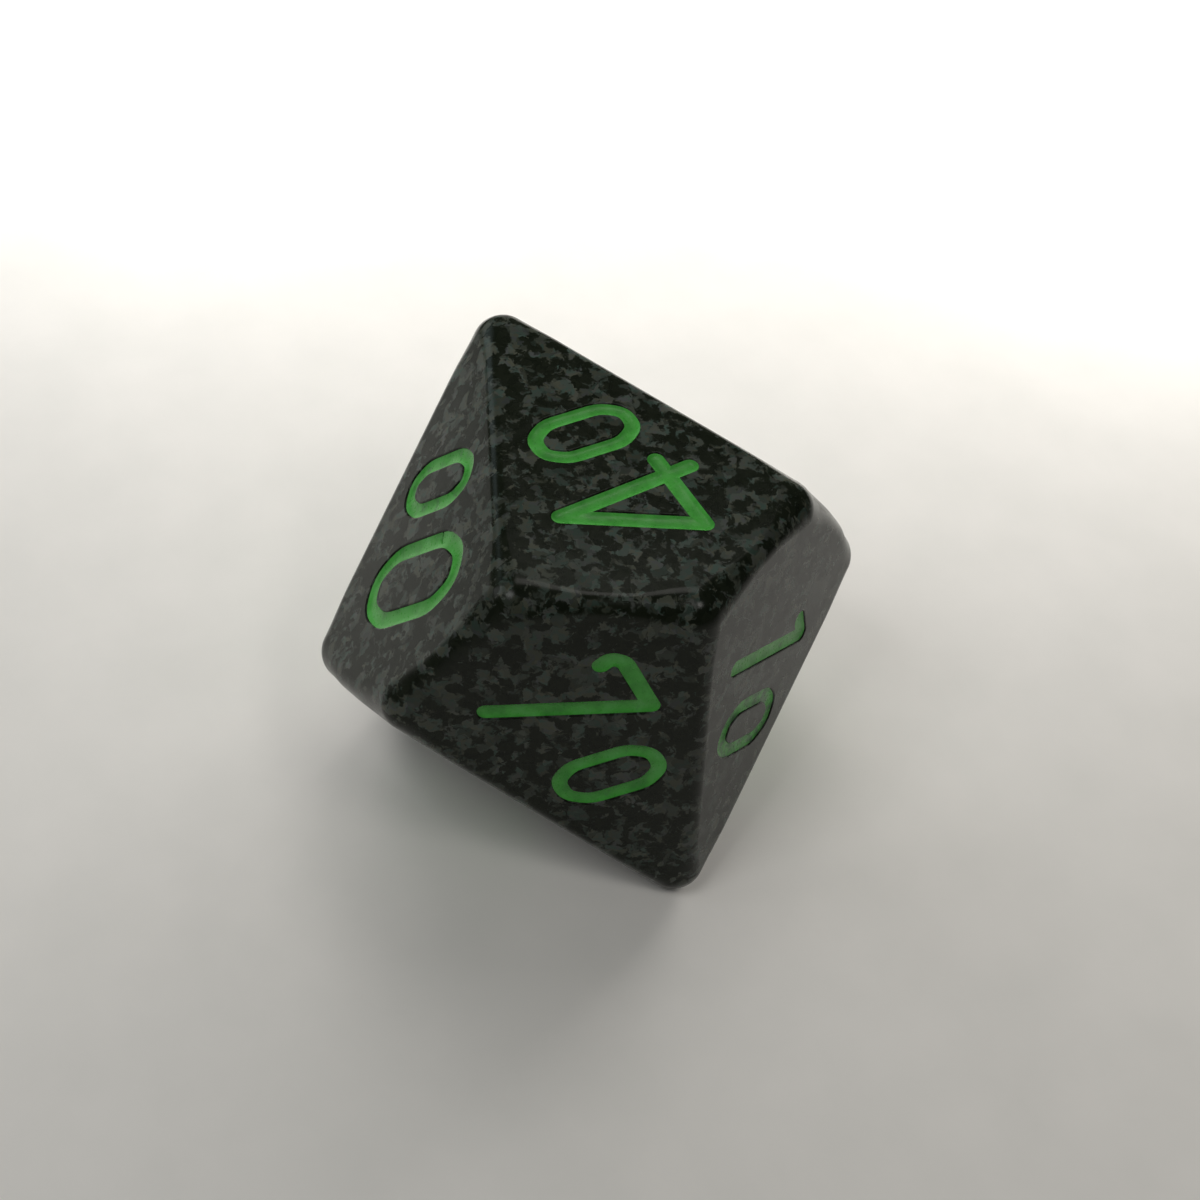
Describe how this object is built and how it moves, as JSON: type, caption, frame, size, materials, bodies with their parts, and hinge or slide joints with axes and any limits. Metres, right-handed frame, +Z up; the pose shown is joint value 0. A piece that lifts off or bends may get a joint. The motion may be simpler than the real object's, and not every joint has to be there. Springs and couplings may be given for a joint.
{
  "type": "percentile die",
  "caption": "Percentile die of speckled plastic: a pentagonal trapezohedron with kite-shaped faces, rounded edges and engraved, paint-filled tens numerals.",
  "frame": {"origin": "centre of the footprint on the table, with the die resting on its 50 face", "axes": "+Z up, the outward normal of the 40 face on top; +X the direction in which the top numeral is read, level and towards one pole; +Y up the top numeral's digits"},
  "size_m": [0.0196, 0.021, 0.016],
  "materials": {
    "speckled_plastic": "polished",
    "numeral_paint": "satin"
  },
  "bodies": {
    "root": {"die_body": "speckled_plastic", "paint_00_tens": "numeral_paint", "paint_00_units": "numeral_paint", "paint_10_tens": "numeral_paint", "paint_10_units": "numeral_paint", "paint_20_tens": "numeral_paint", "paint_20_units": "numeral_paint", "paint_30_tens": "numeral_paint", "paint_30_units": "numeral_paint", "paint_40_tens": "numeral_paint", "paint_40_units": "numeral_paint", "paint_50_tens": "numeral_paint", "paint_50_units": "numeral_paint", "paint_60_tens": "numeral_paint", "paint_60_units": "numeral_paint", "paint_70_tens": "numeral_paint", "paint_70_units": "numeral_paint", "paint_80_tens": "numeral_paint", "paint_80_units": "numeral_paint", "paint_90_tens": "numeral_paint", "paint_90_units": "numeral_paint"}
  },
  "joints": []
}
